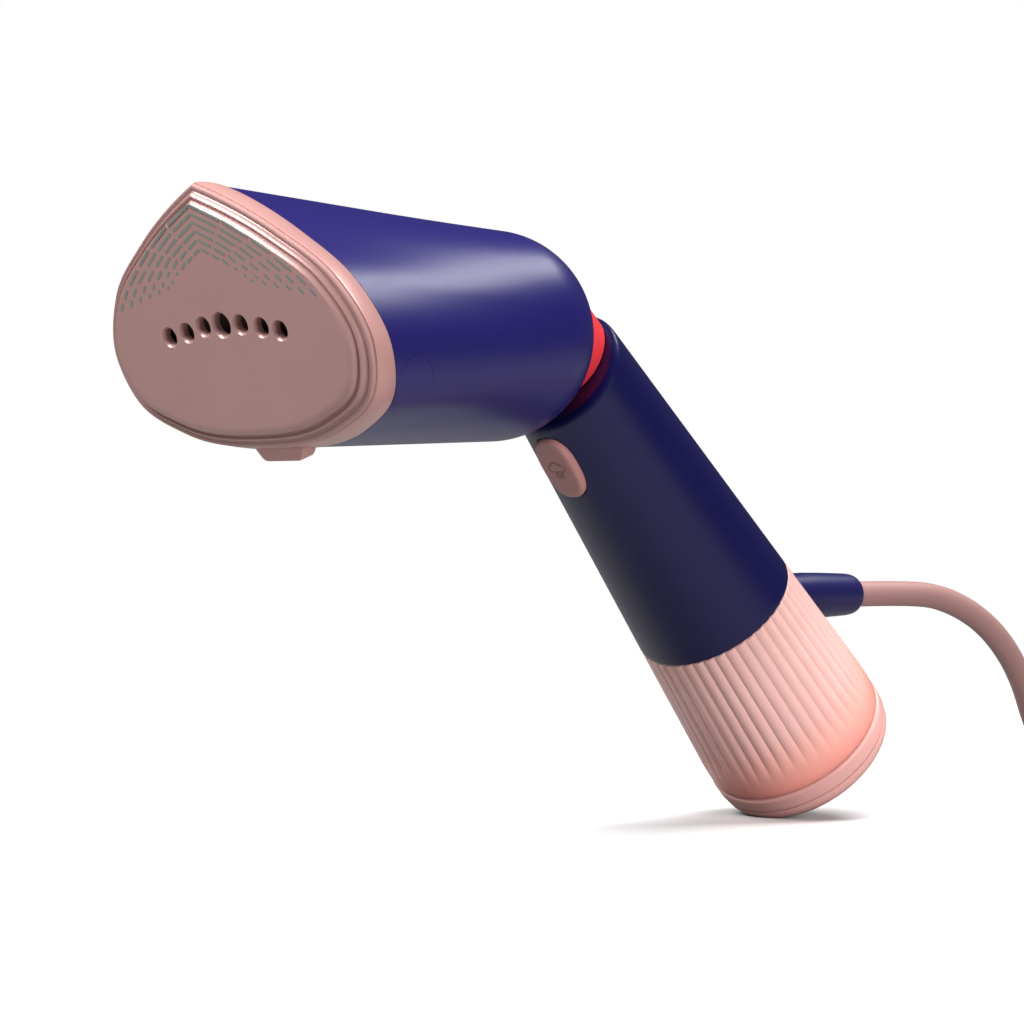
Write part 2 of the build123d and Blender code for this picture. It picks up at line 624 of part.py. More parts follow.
with BuildPart() as tank_socket:
    rod(HANDLE, SOCKET_RADIUS, SOCKET_START, SEAM_STATION - 1.0)
    rod(HANDLE, NECK_RADIUS + 1.0, NECK_START - GAP, SEAM_STATION + 1, mode=Mode.SUBTRACT)
    rod(HANDLE, SUCTION_RADIUS, SOCKET_START - 1, SEAM_STATION, mode=Mode.SUBTRACT)
    rod(HANDLE, handle_radius(102.6) - WALL - 0.1, 102.6, SEAM_STATION - 1.0)
    rod(HANDLE, NECK_RADIUS + 1.0, 102, SEAM_STATION + 1, mode=Mode.SUBTRACT)
    block(HANDLE, 11, 10, 100, SEAM_STATION + 1, 0, INNER_CORD_Y, mode=Mode.SUBTRACT)
finish(tank_socket, "tank_socket")

with BuildPart() as socket_seal:
    tube(HANDLE, NECK_RADIUS + 1.0, NECK_RADIUS + 0.08, 99.6, 101.6)
finish(socket_seal, "socket_seal")

with BuildPart() as suction_tube:
    tube(HANDLE, SUCTION_RADIUS, 1.5, INLET_NIPPLE_END + 0.2, SUCTION_END)
finish(suction_tube, "suction_tube")

with BuildPart() as suction_filter:
    tube(HANDLE, 4.0, SUCTION_RADIUS, SUCTION_END - 7, SUCTION_END)
    rod(HANDLE, 4.0, SUCTION_END, SUCTION_END + 4)
    for groove in range(1, 4):
        tube(HANDLE, 4.6, 3.9, SUCTION_END - 7 + groove * 2, SUCTION_END - 6.2 + groove * 2)
finish(suction_filter, "suction_filter")

# ---- tank ------------------------------------------------------------------------------------
TANK_TOP = SEAM_STATION + GAP
TANK_FLOOR_RADIUS = 28.6
STRAIGHT_RADIUS = handle_radius(TANK_STRAIGHT_END)


def tongue_space(clearance, mode):
    """The slot that the handle's tongue fills, grown by a clearance."""
    block(
        HANDLE,
        TONGUE_WIDTH + 2 * clearance,
        20,
        TANK_TOP - 2,
        TONGUE_END + clearance,
        0,
        -TONGUE_FLAT - 10 + clearance,
        mode=mode,
    )


with BuildPart() as tank_cavity:
    turned(
        HANDLE,
        [
            (0, TANK_TOP + TANK_WALL),
            (handle_radius(TANK_TOP) - TANK_WALL, TANK_TOP + TANK_WALL),
            (STRAIGHT_RADIUS - TANK_WALL, TANK_STRAIGHT_END),
            (TANK_FLOOR_RADIUS - TANK_WALL, TANK_OPEN_END),
            (0, TANK_OPEN_END),
        ],
    )
    tongue_space(GAP + TANK_WALL, Mode.SUBTRACT)

with BuildPart() as tank_body:
    turned(
        HANDLE,
        [
            (0, TANK_TOP),
            (handle_radius(TANK_TOP), TANK_TOP),
            (STRAIGHT_RADIUS, TANK_STRAIGHT_END),
            (TANK_FLOOR_RADIUS, TANK_OPEN_END),
            (0, TANK_OPEN_END),
        ],
    )
    tongue_space(GAP, Mode.SUBTRACT)
    add(tank_cavity.part, mode=Mode.SUBTRACT)
    rod(HANDLE, NECK_RADIUS, NECK_START, TANK_TOP + 1)
    rod(HANDLE, NECK_RADIUS - 1.8, NECK_START - 1, TANK_TOP + TANK_WALL + 1, mode=Mode.SUBTRACT)
finish(tank_body, "tank_body")

with BuildPart() as tank_band:
    tube(HANDLE, 28.9, 24.6, TANK_OPEN_END + 0.1, BAND_END)
finish(tank_band, "tank_band")

with BuildPart() as tank_cap:
    with BuildSketch(Plane(HANDLE.origin, x_dir=HANDLE.y_dir, z_dir=HANDLE.x_dir)) as cap_profile:
        with BuildLine():
            Polyline((0, BAND_END), (28.4, BAND_END))
            Spline(
                (28.4, BAND_END),
                (26.2, BAND_END + 4.2),
                (20.5, BAND_END + 8.0),
                (0, TANK_END),
                tangents=[(-0.25, 1), (-1, 0)],
            )
            Line((0, TANK_END), (0, BAND_END))
        make_face()
    revolve(cap_profile.sketch, axis=Axis(HANDLE.origin, HANDLE.z_dir))
    tube(HANDLE, 24.5, 22.0, TANK_OPEN_END - 3, BAND_END)
    rod(HANDLE, 22.0, BAND_END - 1, BAND_END + 5.0, mode=Mode.SUBTRACT)
finish(tank_cap, "tank_cap")

with BuildPart() as cap_seal:
    tube(HANDLE, 26.2, 24.5, TANK_OPEN_END - 2.4, TANK_OPEN_END - 0.6)
finish(cap_seal, "cap_seal")

# ---- hoses -----------------------------------------------------------------------------------
COUPLING_START = SHAFT_END + 0.5
COUPLING_END = COUPLING_START + 4.0
HOSE_RADIUS = 2.0

with BuildPart() as hose_coupling:
    tube(SWIVEL, 3.4, HOSE_RADIUS + 0.06, COUPLING_START, COUPLING_END)
finish(hose_coupling, "hose_coupling")

with BuildPart() as head_hose:
    hose_route = [
        SWIVEL.from_local_coords(Vector(0, 0, COUPLING_END - 1.0)),
        SWIVEL.from_local_coords(Vector(0, 0, -20)),
        BOILER_REAR.from_local_coords(Vector(*INLET, INLET_END - 13)),
        BOILER_REAR.from_local_coords(Vector(*INLET, INLET_END)),
    ]
    pipe(hose_route, [14, 12], HOSE_RADIUS)
finish(head_hose, "head_hose")

with BuildPart() as pump_hose:
    coupling_point = SWIVEL.from_local_coords(Vector(0, 0, COUPLING_END))
    hose_route = [coupling_point, coupling_point + SWIVEL.z_dir * 4.0] + [
        HANDLE.from_local_coords(Vector(0, y, station))
        for y, station in ((-9.0, 33), (0, 37), (0, OUTLET_NIPPLE_START))
    ]
    pipe(hose_route, [3.5, 3.5, 3.5], HOSE_RADIUS)
finish(pump_hose, "pump_hose")

with BuildPart() as inlet_hose:
    tube(HANDLE, 3.6, SUCTION_RADIUS, INLET_NIPPLE_END - 3, SOCKET_START - 0.2)
finish(inlet_hose, "inlet_hose")

# ---- cord, its relief, its coil and its plug -------------------------------------------------
with BuildPart() as strain_relief:
    turned(
        RELIEF,
        [
            (0, RELIEF_START + 1),
            (RELIEF_RADIUS, RELIEF_START + 1),
            (RELIEF_RADIUS, RELIEF_SURFACE + 6),
            (6.6, RELIEF_END - 3.2),
            (5.9, RELIEF_END - 1.0),
            (4.6, RELIEF_END),
            (0, RELIEF_END),
        ],
    )
finish(strain_relief, "strain_relief")

with BuildPart() as inner_cord:
    entry = RELIEF.from_local_coords(Vector(0, 0, RELIEF_START + 1))
    cord_route = [entry, entry - RELIEF.z_dir * 4.6] + [
        HANDLE.from_local_coords(Vector(0, INNER_CORD_Y, 108)),
        HANDLE.from_local_coords(Vector(0, INNER_CORD_Y + 0.8, 97.5)),
    ]
    pipe(cord_route, [6.0, 20.0], CORD_RADIUS)
finish(inner_cord, "inner_cord")

CORD_EXIT = Vector(0, ELBOW.Y + RELIEF_END, CORD_HEIGHT)
CORD_ON_FLOOR = FLOOR + CORD_RADIUS
COIL_CENTRE = Vector(40, 236, FLOOR)
COIL_PITCH = 2 * CORD_RADIUS
COIL_OUTER = COIL_RADIUS + COIL_PITCH * COIL_TURNS_WIDE / 2
COIL_INNER = COIL_RADIUS - COIL_PITCH * COIL_TURNS_WIDE / 2
COIL_BASE = FLOOR + 0.8
COIL_HEIGHT = COIL_PITCH * COIL_TURNS_HIGH
OUTER_TURN = COIL_RADIUS + COIL_PITCH
CORD_ROUTE = [
    CORD_EXIT,
    Vector(0, 117, CORD_HEIGHT),
    Vector(1, 140, -28.6),
    Vector(3, 162, -38),
    Vector(2.5, 180.5, -54),
    Vector(-5, 201, -75.5),
    Vector(-10, 216.5, -84.6),
    Vector(-12, 233.5, CORD_ON_FLOOR + 0.8),
    Vector(-10.6, 249.5, CORD_ON_FLOOR + 0.8),
]
TAIL_HEIGHT = COIL_BASE + COIL_HEIGHT - CORD_RADIUS
PLUG_AXIS = FLOOR + 11.0
TAIL_ROUTE = [
    Vector(COIL_CENTRE.X + OUTER_TURN, 238, TAIL_HEIGHT),
    Vector(COIL_CENTRE.X + OUTER_TURN, 218, PLUG_AXIS),
    Vector(COIL_CENTRE.X + OUTER_TURN, 202, PLUG_AXIS),
]


def bend_radii(route):
    """The largest tangent arcs that a route's runs allow, one for each of its corners."""
    radii = []
    for start, corner, end in zip(route, route[1:], route[2:]):
        arriving = corner - start
        leaving = end - corner
        turn = radians(arriving.get_angle(leaving))
        radii.append(0.45 * min(arriving.length, leaving.length) / tan(turn / 2))
    return radii


def cord_tube(name, route):
    """A cord's tube along its route, with its bend radii, length and volume reported."""
    radii = bend_radii(route)
    length = pipe(route, radii, CORD_RADIUS)
    print(name, "radii", [round(radius) for radius in radii], "length", round(length, 1))
    return length * pi * CORD_RADIUS**2


with BuildPart() as power_cord:
    expected = cord_tube("power_cord", CORD_ROUTE)
print("power_cord volume", round(power_cord.part.volume), "expected", round(expected))
finish(power_cord, "power_cord")

with BuildPart() as cord_coil:
    tube(Plane((COIL_CENTRE.X, COIL_CENTRE.Y, 0)), COIL_OUTER, COIL_INNER, COIL_BASE, COIL_BASE + COIL_HEIGHT)
finish(cord_coil, "cord_coil")

with BuildPart() as cord_tail:
    expected = cord_tube("cord_tail", TAIL_ROUTE)
print("cord_tail volume", round(cord_tail.part.volume), "expected", round(expected))
finish(cord_tail, "cord_tail")

TIE_WIDTH = 12.0
TIE = 0.8
TIE_SPAN = COIL_OUTER - COIL_INNER + 1.6
TIE_PLANE = Plane((COIL_CENTRE.X, COIL_CENTRE.Y + COIL_RADIUS, 0))
with BuildPart() as cord_tie:
    block(TIE_PLANE, TIE_WIDTH, TIE_SPAN + 2 * TIE, FLOOR, COIL_BASE + COIL_HEIGHT + TIE)
    block(TIE_PLANE, TIE_WIDTH, TIE_SPAN, COIL_BASE, COIL_BASE + COIL_HEIGHT, mode=Mode.SUBTRACT)
finish(cord_tie, "cord_tie")

PLUG = Plane((TAIL_ROUTE[-1].X, TAIL_ROUTE[-1].Y, PLUG_AXIS), x_dir=(1, 0, 0), z_dir=(0, -1, 0))
PLUG_RELIEF = 14.0
PLUG_BODY = 46.0
with BuildPart() as plug_body:
    turned(
        PLUG,
        [
            (0, 0),
            (4.8, 0),
            (6.2, PLUG_RELIEF),
            (9.5, PLUG_RELIEF + 6),
            (9.5, PLUG_RELIEF + 10),
            (0, PLUG_RELIEF + 10),
        ],
    )
    with BuildSketch(PLUG.offset(PLUG_RELIEF + 8)) as grip_outline:
        SlotOverall(34, 20)
    extrude(grip_outline.sketch, amount=PLUG_BODY - PLUG_RELIEF - 8)
    for side in (-1, 1):
        rod(PLUG, PIN_ROOT_RADIUS, PLUG_BODY - 6, PLUG_BODY, side * PIN_SPACING / 2, 0, mode=Mode.SUBTRACT)
finish(plug_body, "plug_body")

with BuildPart() as plug_pins:
    for side in (-1, 1):
        rod(PLUG, PIN_ROOT_RADIUS, PLUG_BODY - 6, PLUG_BODY, side * PIN_SPACING / 2)
        rod(PLUG, PIN_RADIUS, PLUG_BODY, PLUG_BODY + PIN_LENGTH, side * PIN_SPACING / 2)
    chamfer(plug_pins.faces().group_by(Axis.Y)[0].edges(), 0.8)
finish(plug_pins, "plug_pins")

print("tank bottom", round(min(tank_cap.part.bounding_box().min.Z, tank_band.part.bounding_box().min.Z), 2))
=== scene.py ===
"""Looks for the garment steamer: camera, light, materials and the finely shaped visible pieces.

Shapes are written in millimetres, in the same local frames as the CAD part,
and turned to metres in the row frame.
"""
import json
import math

import bmesh
import bpy
from mathutils import Matrix, Vector


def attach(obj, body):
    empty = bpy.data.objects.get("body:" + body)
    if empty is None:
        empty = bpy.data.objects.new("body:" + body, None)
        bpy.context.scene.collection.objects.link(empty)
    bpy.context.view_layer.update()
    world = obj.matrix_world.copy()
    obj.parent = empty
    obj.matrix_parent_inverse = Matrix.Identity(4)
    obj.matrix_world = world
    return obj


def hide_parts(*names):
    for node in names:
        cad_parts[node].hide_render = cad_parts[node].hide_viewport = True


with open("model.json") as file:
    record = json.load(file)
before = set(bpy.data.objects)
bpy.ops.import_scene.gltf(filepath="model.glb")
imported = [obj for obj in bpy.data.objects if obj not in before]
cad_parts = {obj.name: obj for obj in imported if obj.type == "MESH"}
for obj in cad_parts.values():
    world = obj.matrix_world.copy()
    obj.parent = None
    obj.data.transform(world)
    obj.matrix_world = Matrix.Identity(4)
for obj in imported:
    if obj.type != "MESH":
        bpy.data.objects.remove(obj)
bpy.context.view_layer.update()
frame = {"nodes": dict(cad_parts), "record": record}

# ---- sizes shared with the CAD part, in millimetres ------------------------------------------
ELBOW = Vector((0, -44.537, 47.344))
DOME = Vector((0, -66.437, 47.344))
DOME_RADIUS = 29.2
WALL = 2.2
HANDLE_TOP_RADIUS = 17.43
HANDLE_TAPER = 0.0733
SEAM = 105.4
RIM_STATION = 91.2
COLLAR_STATION = 80.2
FACE_DEPTH = 4.04
FACE_SHIFT = 1.47  # the face's centre stands this far up the rim's frame
RIM_OUTLINE = (50.5, 36.6, 34.0)
FACE_OUTLINE = (47.0, 34.87, 30.83)
COLLAR_OUTLINE = (45.0, 36.2, 34.0)
SWIVEL_FACE = 11.4
FLOOR = -94.0
CORD_RADIUS = 4.0
CORD_EXIT = (0, 93.763, -27.156)
X_AXIS = Vector((1, 0, 0))


class Local:
    """A local frame of the CAD part: x is the row's +X and z runs along the frame's axis."""

    def __init__(self, origin, z):
        self.origin = Vector(origin)
        self.z = Vector(z).normalized()
        self.y = self.z.cross(X_AXIS)

    def at(self, x, y, z):
        """A local point in millimetres as a row point in metres."""
        return (self.origin + X_AXIS * x + self.y * y + self.z * z) * 0.001

    def back(self, point):
        """A row point in millimetres as a local point."""
        offset = point - self.origin
        return Vector((offset.x, offset.dot(self.y), offset.dot(self.z)))


HANDLE = Local(ELBOW, (0, 0.68518, -0.72837))
SWIVEL = Local(ELBOW, (0, 0.91793, -0.39673))
HEAD = Local(DOME, (0, -1, 0))
RELIEF = Local((0, ELBOW.y, -27.156), (0, 1, 0))


def tilted(station):
    """The frame of a plane parallel to the steam plate."""
    return Local(DOME + Vector((0, -station, 0)), (0, -0.93969, -0.34202))


RIM = tilted(RIM_STATION)


def handle_radius(station):
    return HANDLE_TOP_RADIUS + HANDLE_TAPER * station


BUTTON_SEAT = handle_radius(31)
BUTTON = Local(HANDLE.at(0, BUTTON_SEAT, 31) * 1000, (0, -0.77651, -0.63010))

# ---- camera and light ------------------------------------------------------------------------
scene = bpy.context.scene
camera = bpy.data.objects.new("camera", bpy.data.cameras.new("camera"))
scene.collection.objects.link(camera)
camera.location = (0.5831, -0.6402, -0.0013)
camera.rotation_euler = (math.radians(90), 0, math.radians(45))
camera.data.lens = 104.06
camera.data.sensor_width = 36
camera.data.clip_end = 50
scene.camera = camera
scene.view_settings.view_transform = "Standard"


def area_light(name, place, target, size, power, glossy=True, diffuse=True):
    """A soft rectangular light at a place, facing a target, both in metres."""
    light = bpy.data.lights.new(name, "AREA")
    light.shape = "RECTANGLE"
    light.size, light.size_y = size
    light.energy = power
    lamp = bpy.data.objects.new(name, light)
    lamp.location = place
    lamp.rotation_euler = (Vector(target) - Vector(place)).to_track_quat("-Z", "Y").to_euler()
    lamp.visible_glossy = glossy
    lamp.visible_diffuse = diffuse
    scene.collection.objects.link(lamp)


area_light("overhead", (0.15, 0.35, 1.6), (0, 0, 0), (1.4, 1.4), 56, glossy=False)
area_light("band", (0.1, 0.98, 1.0), (0, -0.1, 0.047), (0.5, 0.24), 3.4, diffuse=False)
area_light("fill", (0.9, -0.1, 0.1), (0, 0.04, -0.05), (0.5, 0.5), 8, glossy=False)
area_light("front", (-0.15, -0.5, 0.5), (0, -0.16, 0.03), (0.3, 0.3), 6)

world = bpy.data.worlds.new("studio")
scene.world = world
world.use_nodes = True
studio = world.node_tree
lit = studio.nodes["Background"]
lit.inputs["Color"].default_value = (1, 1, 1, 1)
ray = studio.nodes.new("ShaderNodeLightPath")
strength = studio.nodes.new("ShaderNodeMapRange")
strength.inputs["To Min"].default_value = 0.28
strength.inputs["To Max"].default_value = 0.05
studio.links.new(ray.outputs["Is Glossy Ray"], strength.inputs["Value"])
studio.links.new(strength.outputs["Result"], lit.inputs["Strength"])
backdrop = studio.nodes.new("ShaderNodeBackground")
backdrop.inputs["Color"].default_value = (1, 1, 1, 1)
choice = studio.nodes.new("ShaderNodeMixShader")
studio.links.new(ray.outputs["Is Camera Ray"], choice.inputs["Fac"])
studio.links.new(lit.outputs["Background"], choice.inputs[1])
studio.links.new(backdrop.outputs["Background"], choice.inputs[2])
studio.links.new(choice.outputs["Shader"], studio.nodes["World Output"].inputs["Surface"])


# ---- materials -------------------------------------------------------------------------------
def material(name, color, roughness=0.4, metallic=0.0, coat=0.0, grain=0.0, grain_scale=900.0,
             shade=0.04, subsurface=0.0):
    """A Principled finish with uneven tone, uneven gloss and a fine moulded grain."""
    made = bpy.data.materials.new(name)
    made.use_nodes = True
    nodes, links = made.node_tree.nodes, made.node_tree.links
    shader = nodes["Principled BSDF"]
    shader.inputs["Metallic"].default_value = metallic
    shader.inputs["Coat Weight"].default_value = coat
    shader.inputs["Coat Roughness"].default_value = 0.2
    shader.inputs["Subsurface Weight"].default_value = subsurface
    shader.inputs["Subsurface Radius"].default_value = (0.006, 0.003, 0.003)
    place = nodes.new("ShaderNodeTexCoord")
    cloud = nodes.new("ShaderNodeTexNoise")
    cloud.inputs["Scale"].default_value = 22
    cloud.inputs["Detail"].default_value = 3
    links.new(place.outputs["Object"], cloud.inputs["Vector"])
    tone = nodes.new("ShaderNodeValToRGB")
    tone.color_ramp.elements[0].position = 0.3
    tone.color_ramp.elements[1].position = 0.7
    tone.color_ramp.elements[0].color = [c * (1 - shade) for c in color] + [1]
    tone.color_ramp.elements[1].color = [min(1, c * (1 + shade)) for c in color] + [1]
    links.new(cloud.outputs["Fac"], tone.inputs["Fac"])
    links.new(tone.outputs["Color"], shader.inputs["Base Color"])
    fine = nodes.new("ShaderNodeTexNoise")
    fine.inputs["Scale"].default_value = grain_scale
    fine.inputs["Detail"].default_value = 2
    links.new(place.outputs["Object"], fine.inputs["Vector"])
    gloss = nodes.new("ShaderNodeMapRange")
    gloss.inputs["To Min"].default_value = roughness - 0.04
    gloss.inputs["To Max"].default_value = roughness + 0.04
    links.new(fine.outputs["Fac"], gloss.inputs["Value"])
    links.new(gloss.outputs["Result"], shader.inputs["Roughness"])
    if grain:
        bump = nodes.new("ShaderNodeBump")
        bump.inputs["Strength"].default_value = grain
        bump.inputs["Distance"].default_value = 0.0001
        links.new(fine.outputs["Fac"], bump.inputs["Height"])
        links.new(bump.outputs["Normal"], shader.inputs["Normal"])
    return made


def colored_along(made, local, stops):
    """Multiplies a material's colour by a ramp of (station, factor colour) along a frame's axis."""
    nodes, links = made.node_tree.nodes, made.node_tree.links
    shader = nodes["Principled BSDF"]
    base = shader.inputs["Base Color"].links[0].from_socket
    place = nodes.new("ShaderNodeTexCoord")
    along = nodes.new("ShaderNodeVectorMath")
    along.operation = "DOT_PRODUCT"
    along.inputs[1].default_value = local.z
    links.new(place.outputs["Object"], along.inputs[0])
    zero = (local.origin * 0.001).dot(local.z)
    span = nodes.new("ShaderNodeMapRange")
    span.inputs["From Min"].default_value = zero + stops[0][0] * 0.001
    span.inputs["From Max"].default_value = zero + stops[-1][0] * 0.001
    links.new(along.outputs["Value"], span.inputs["Value"])
    ramp = nodes.new("ShaderNodeValToRGB")
    first, last = stops[0][0], stops[-1][0]
    for index, (station, color) in enumerate(stops):
        position = (station - first) / (last - first)
        if index < 2:
            stop = ramp.color_ramp.elements[index]
            stop.position = position
        else:
            stop = ramp.color_ramp.elements.new(position)
        stop.color = list(color) + [1]
    links.new(span.outputs["Result"], ramp.inputs["Fac"])
    mix = nodes.new("ShaderNodeMix")
    mix.data_type = "RGBA"
    mix.blend_type = "MULTIPLY"
    mix.inputs["Factor"].default_value = 1
    links.new(base, mix.inputs[6])
    links.new(ramp.outputs["Color"], mix.inputs[7])
    links.new(mix.outputs[2], shader.inputs["Base Color"])


BLUE = material("blue_plastic", (0.010, 0.007, 0.085), 0.36, coat=0.05, grain=0.12)
# Painted shade: the handle is the housing's blue plastic, made darker because it gets less light.
SHADED_HANDLE_BLUE = material("handle_blue_painted_shade", (0.004, 0.003, 0.045), 0.36, coat=0.05, grain=0.12)
COLLAR = material("collar_plastic", (0.47, 0.245, 0.225), 0.32, coat=0.15, grain=0.08, metallic=0.2)
PLATE = material(
    "plate_coating", (0.42, 0.235, 0.22), 0.34, metallic=0.25, coat=0.1, grain=0.2, grain_scale=2600, shade=0.03
)
# Painted shade: the plate's dash grooves are drawn as flat dark grey marks.
DASH_GROOVE_SHADE = material("dash_groove_painted_shade", (0.17, 0.195, 0.18), 0.5)
RED = material("red_ring", (0.62, 0.035, 0.045), 0.38, coat=0.1)
TANK = material("tank_plastic", (0.80, 0.47, 0.44), 0.26, coat=0.25)
colored_along(TANK, HANDLE, [(105, (0.86, 0.84, 0.82)), (122, (0.98, 0.97, 0.95)), (140, (1.05, 1.0, 0.98)),
                             (151, (1.15, 0.86, 0.78)), (157, (1.12, 0.70, 0.62)), (160, (0.9, 0.5, 0.45))])
CAP = material("cap_plastic", (0.76, 0.39, 0.355), 0.3, coat=0.15, grain=0.08)
BUTTON_PINK = material("button_plastic", (0.36, 0.165, 0.155), 0.38, coat=0.05, grain=0.08)
ICON = material("icon_ink", (0.20, 0.07, 0.08), 0.5)
CORD = material("cord_jacket", (0.30, 0.165, 0.155), 0.5, grain=0.3, grain_scale=1600)
RELIEF_BLUE = material("relief_plastic", (0.009, 0.008, 0.062), 0.4, grain=0.12)
STEEL = material("steel", (0.55, 0.55, 0.56), 0.32, metallic=1.0, grain=0.1)
BRASS = material("brass", (0.70, 0.52, 0.22), 0.3, metallic=1.0, grain=0.1)
CAST = material("cast_aluminium", (0.58, 0.58, 0.59), 0.5, metallic=0.9, grain=0.8, grain_scale=1400)
NYLON = material("natural_nylon", (0.70, 0.68, 0.62), 0.45, grain=0.1, subsurface=0.1)
# Dark brown for scale on the boiler cover, and as painted shade seen through the steam holes.
SCALE_AND_HOLE_SHADE = material("scaled_aluminium_hole_shade", (0.10, 0.055, 0.05), 0.6, metallic=0.3, grain=0.6, grain_scale=1400)
BLACK = material("black_plastic", (0.02, 0.02, 0.022), 0.45, grain=0.2)
SILICONE = material("silicone", (0.50, 0.10, 0.07), 0.5)
RUBBER = material("black_rubber", (0.02, 0.02, 0.02), 0.7, grain=0.3)
COPPER = material("copper_winding", (0.60, 0.24, 0.10), 0.35, metallic=0.9)
BOARD = material("circuit_board", (0.02, 0.15, 0.06), 0.4, coat=0.4)

# The handle_navy slot takes the housing's blue, darkened as painted shade.
BY_SLOT = {
    "housing_blue": BLUE, "handle_navy": SHADED_HANDLE_BLUE, "collar_pink": COLLAR, "plate_rose": PLATE, "ring_red": RED,
    "tank_pink": TANK, "cap_pink": CAP, "relief_blue": RELIEF_BLUE,
    "cord_pink": CORD, "natural_nylon": NYLON, "black_plastic": BLACK, "silicone": SILICONE,
    "seal_rubber": RUBBER, "die_cast": CAST, "steel": STEEL, "brass": BRASS, "copper_winding": COPPER,
    "board_green": BOARD,
}
SLOTS = {}
for part in frame["record"]["subparts"]:
    SLOTS[part["node"]] = part["material_slot"]
# The boiler cover takes the dark scale-and-shade finish, painted shade for the steam holes.
for node, item in frame["nodes"].items():
    item.data.materials.clear()
    item.data.materials.append(SCALE_AND_HOLE_SHADE if node == "boiler_cover" else BY_SLOT[SLOTS[node]])


# ---- mesh helpers ----------------------------------------------------------------------------
def piece(name, points, faces, finish, smooth=40):
    """A mesh object from row points in metres, smooth-shaded up to an angle in degrees."""
    mesh = bpy.data.meshes.new(name)
    mesh.from_pydata([tuple(p) for p in points], [], faces)
    mesh.validate()
    mesh.materials.append(finish)
    made = bpy.data.objects.new(name, mesh)
    scene.collection.objects.link(made)
    cleaner = bmesh.new()
    cleaner.from_mesh(mesh)
    bmesh.ops.remove_doubles(cleaner, verts=cleaner.verts, dist=1e-6)
    bmesh.ops.recalc_face_normals(cleaner, faces=cleaner.faces)
    cleaner.to_mesh(mesh)
    cleaner.free()
    shade(made, smooth)
    return made


def shade(made, smooth):
    """Smooth shading that keeps edges sharper than an angle."""
    for face in made.data.polygons:
        face.use_smooth = True
    made.data.set_sharp_from_angle(angle=math.radians(smooth))


def skin(rings, close_first=False, close_last=False):
    """Points and faces of rings joined into a skin, each ring a list of as many points."""
    points = [p for ring in rings for p in ring]
    count = len(rings[0])
    faces = []
    for row in range(len(rings) - 1):
        for i in range(count):
            j = (i + 1) % count
            faces.append((row * count + i, row * count + j, (row + 1) * count + j, (row + 1) * count + i))
    if close_first:
        faces.append(tuple(range(count)))
    if close_last:
        faces.append(tuple(range(len(points) - count, len(points))))
    return points, faces


def lathe(name, local, profile, finish, count=128, closed=False, smooth=40):
    """A turned piece from a profile of (radius, station) points."""
    rings = []
    for radius, station in profile:
        ring = []
        for i in range(count):
            angle = 2 * math.pi * i / count
            ring.append(local.at(radius * math.cos(angle), radius * math.sin(angle), station))
        rings.append(ring)
    if closed:
        rings.append(rings[0])
    points, faces = skin(rings)
    return piece(name, points, faces, finish, smooth)


def thicken(made, thickness):
    """Gives a surface a wall behind it, applied to its mesh."""
    wall = made.modifiers.new("wall", "SOLIDIFY")
    wall.thickness = thickness * 0.001
    wall.offset = -1
    wall.use_even_offset = True
    bake(made)


def bake(made):
    """Applies a piece's modifiers to its mesh."""
    graph = bpy.context.evaluated_depsgraph_get()
    solved = bpy.data.meshes.new_from_object(made.evaluated_get(graph))
    made.modifiers.clear()
    made.data = solved


def cut(made, cutter, keep=False):
    """Cuts another solid out of a piece, or keeps only what they share."""
    modifier = made.modifiers.new("cut", "BOOLEAN")
    modifier.operation = "INTERSECT" if keep else "DIFFERENCE"
    modifier.solver = "EXACT"
    modifier.object = cutter
    bake(made)
    shade(made, 35)


def smoothstep(value):
    value = min(1, max(0, value))
    return value * value * (3 - 2 * value)


def rounded(points, reach, steps=6):
    """An open profile with each inner corner rounded over a reach, in the profile's own units."""
    path = [Vector(points[0])]
    for before, corner, after in zip(points, points[1:], points[2:]):
        before, corner, after = Vector(before), Vector(corner), Vector(after)
        start = corner + (before - corner).normalized() * min(reach, (before - corner).length * 0.45)
        end = corner + (after - corner).normalized() * min(reach, (after - corner).length * 0.45)
        for step in range(steps + 1):
            t = step / steps
            path.append(start * (1 - t) ** 2 + corner * 2 * t * (1 - t) + end * t**2)
    path.append(Vector(points[-1]))
    return path


PICK_COUNT = 256


def half_pick(width, top, bottom):
    """Dense points of the pick outline's right half, from its tip down to its lowest point."""
    knots = [
        (0, top), (0.53 * width, 0.62 * top), (0.86 * width, 0.25 * top), (width, -0.21 * bottom),
        (0.92 * width, -0.60 * bottom), (0.60 * width, -0.88 * bottom), (0, -bottom),
    ]
    knots = [Vector(k) for k in knots]
    chords = [(b - a).length for a, b in zip(knots, knots[1:])]
    slopes = [Vector((1, -0.40)).normalized()]
    for i in range(1, 6):
        before = (knots[i] - knots[i - 1]) / chords[i - 1]
        after = (knots[i + 1] - knots[i]) / chords[i]
        slopes.append(
            (before * chords[i] + after * chords[i - 1])
            / (chords[i - 1] + chords[i])
        )
    slopes.append(Vector((-1, 0)))
    dense = []
    for i, chord in enumerate(chords):
        for step in range(40):
            t = step / 40
            dense.append(
                knots[i] * (2 * t**3 - 3 * t**2 + 1)
                + slopes[i] * chord * (t**3 - 2 * t**2 + t)
                + knots[i + 1] * (3 * t**2 - 2 * t**3)
                + slopes[i + 1] * chord * (t**3 - t**2)
            )
    dense.append(knots[-1])
    return dense


